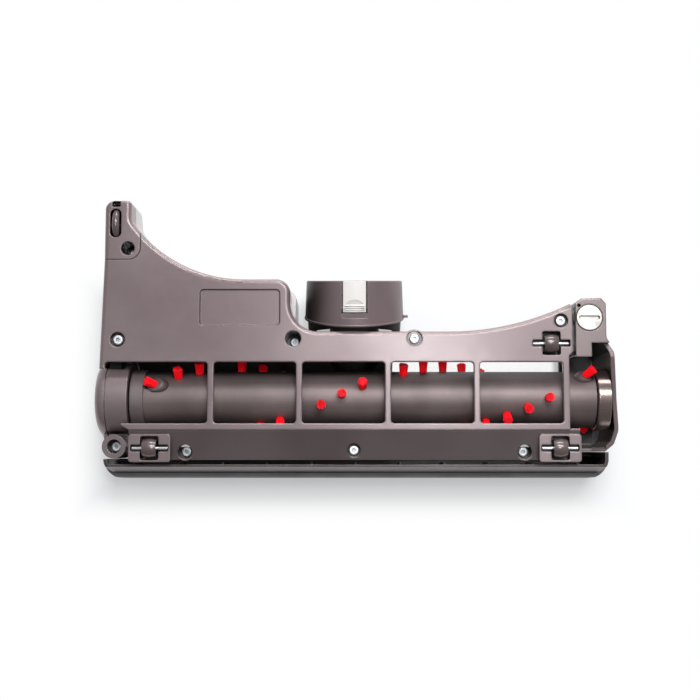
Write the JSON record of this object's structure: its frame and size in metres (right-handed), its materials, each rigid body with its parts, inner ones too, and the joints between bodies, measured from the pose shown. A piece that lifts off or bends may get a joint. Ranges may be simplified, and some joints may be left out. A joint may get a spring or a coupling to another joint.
{
  "type": "vacuum cleaner brush head",
  "caption": "Motor-driven floor brush head for an upright vacuum cleaner, lying sole up, with spinning brush bar, wheels, neck cuff and release clip.",
  "frame": {"origin": "middle of the head's bounding box in plan, on the table that its top covers lie on", "axes": "+X along the brush bar towards the end cap, +Y to the head's rear where the neck is, +Z out of the sole"},
  "size_m": [0.2814, 0.1494, 0.0577],
  "materials": {
    "shell": "satin pearlescent",
    "silver": "satin metallic",
    "clear": "clear moulded",
    "strip": "matt",
    "bar": "anodised satin",
    "bristle": "stiff nylon tufts",
    "hub": "satin",
    "dark": "matt",
    "steel": "bright",
    "fastener": "satin cast",
    "belt": "matt",
    "motor": "zinc plated",
    "board": "lacquered",
    "bronze": "turned",
    "wheel": "satin"
  },
  "bodies": {
    "housing": {"soleplate": "shell", "clear_chamber_cover": "clear", "front_bumper": "shell", "bumper_strip": "strip", "motor_cover": "silver", "arm_tip_cover": "shell", "belt_cover": "shell", "end_cap": "shell", "motor_body": "motor", "motor_bracket": "dark", "drive_belt": "belt", "circuit_board": "board", "terminal_block": "dark", "neck_cradle": "dark", "neck_pivot_pins": "steel", "suction_hose": "dark", "drive_bearing": "bronze", "end_bell": "hub", "end_bearing": "bronze", "axle_front_left": "steel", "axle_front_right": "steel", "axle_rear_right": "steel", "axle_arm": "steel", "soleplate_screws": "steel", "cover_screws": "steel"},
    "brush_bar": {"brush_core": "bar", "bristle_row_a": "bristle", "bristle_row_b": "bristle", "drive_hub": "hub", "end_plug": "hub", "brush_pulley": "dark"},
    "motor_rotor": {"motor_shaft": "steel", "motor_pulley": "steel"},
    "front_left_wheel": {"wheel_front_left": "wheel"},
    "front_right_wheel": {"wheel_front_right": "wheel"},
    "rear_right_wheel": {"wheel_rear_right": "wheel"},
    "arm_wheel": {"wheel_arm": "wheel"},
    "fastener": {"end_cap_fastener": "fastener"},
    "neck": {"neck_ring": "shell"},
    "cuff": {"neck_cuff": "shell", "clip_pin": "steel"},
    "clip": {"release_clip": "silver"}
  },
  "joints": [
    {"name": "brush_spin", "type": "hinge", "parent": "housing", "child": "brush_bar", "pos_m": [0, -0.0333, 0.0315], "axis": [1, 0, 0], "continuous": true},
    {"name": "rotor_spin", "type": "hinge", "parent": "housing", "child": "motor_rotor", "pos_m": [-0.12, 0.0115, 0.026], "axis": [1, 0, 0], "continuous": true},
    {"name": "front_left_wheel_spin", "type": "hinge", "parent": "housing", "child": "front_left_wheel", "pos_m": [-0.1094, -0.0597, 0.0493], "axis": [1, 0, 0], "continuous": true},
    {"name": "front_right_wheel_spin", "type": "hinge", "parent": "housing", "child": "front_right_wheel", "pos_m": [0.1082, -0.0597, 0.0493], "axis": [1, 0, 0], "continuous": true},
    {"name": "rear_right_wheel_spin", "type": "hinge", "parent": "housing", "child": "rear_right_wheel", "pos_m": [0.1041, -0.004, 0.0493], "axis": [1, 0, 0], "continuous": true},
    {"name": "arm_wheel_spin", "type": "hinge", "parent": "housing", "child": "arm_wheel", "pos_m": [-0.129, 0.0608, 0.0445], "axis": [1, 0, 0], "continuous": true},
    {"name": "fastener_turn", "type": "hinge", "parent": "housing", "child": "fastener", "pos_m": [0.1245, 0.0097, 0.05], "axis": [0, 0, 1], "range_deg": [0, 90]},
    {"name": "neck_pitch", "type": "hinge", "parent": "housing", "child": "neck", "pos_m": [-0.0008, 0, 0.02493], "axis": [1, 0, 0], "range_deg": [-30, 2]},
    {"name": "cuff_roll", "type": "hinge", "parent": "neck", "child": "cuff", "pos_m": [-0.0008, 0.01178, 0.02722], "axis": [0, 0.9816, 0.1908], "range_deg": [-60, 60]},
    {"name": "clip_press", "type": "hinge", "parent": "cuff", "child": "clip", "pos_m": [-0.0008, 0.02127, 0.05438], "axis": [1, 0, 0], "range_deg": [0, 2.5], "stiffness_Nm_per_rad": 0.6}
  ],
  "couplings": [
    {"joint": "rotor_spin", "follows": "brush_spin", "ratio": 2.4}
  ]
}
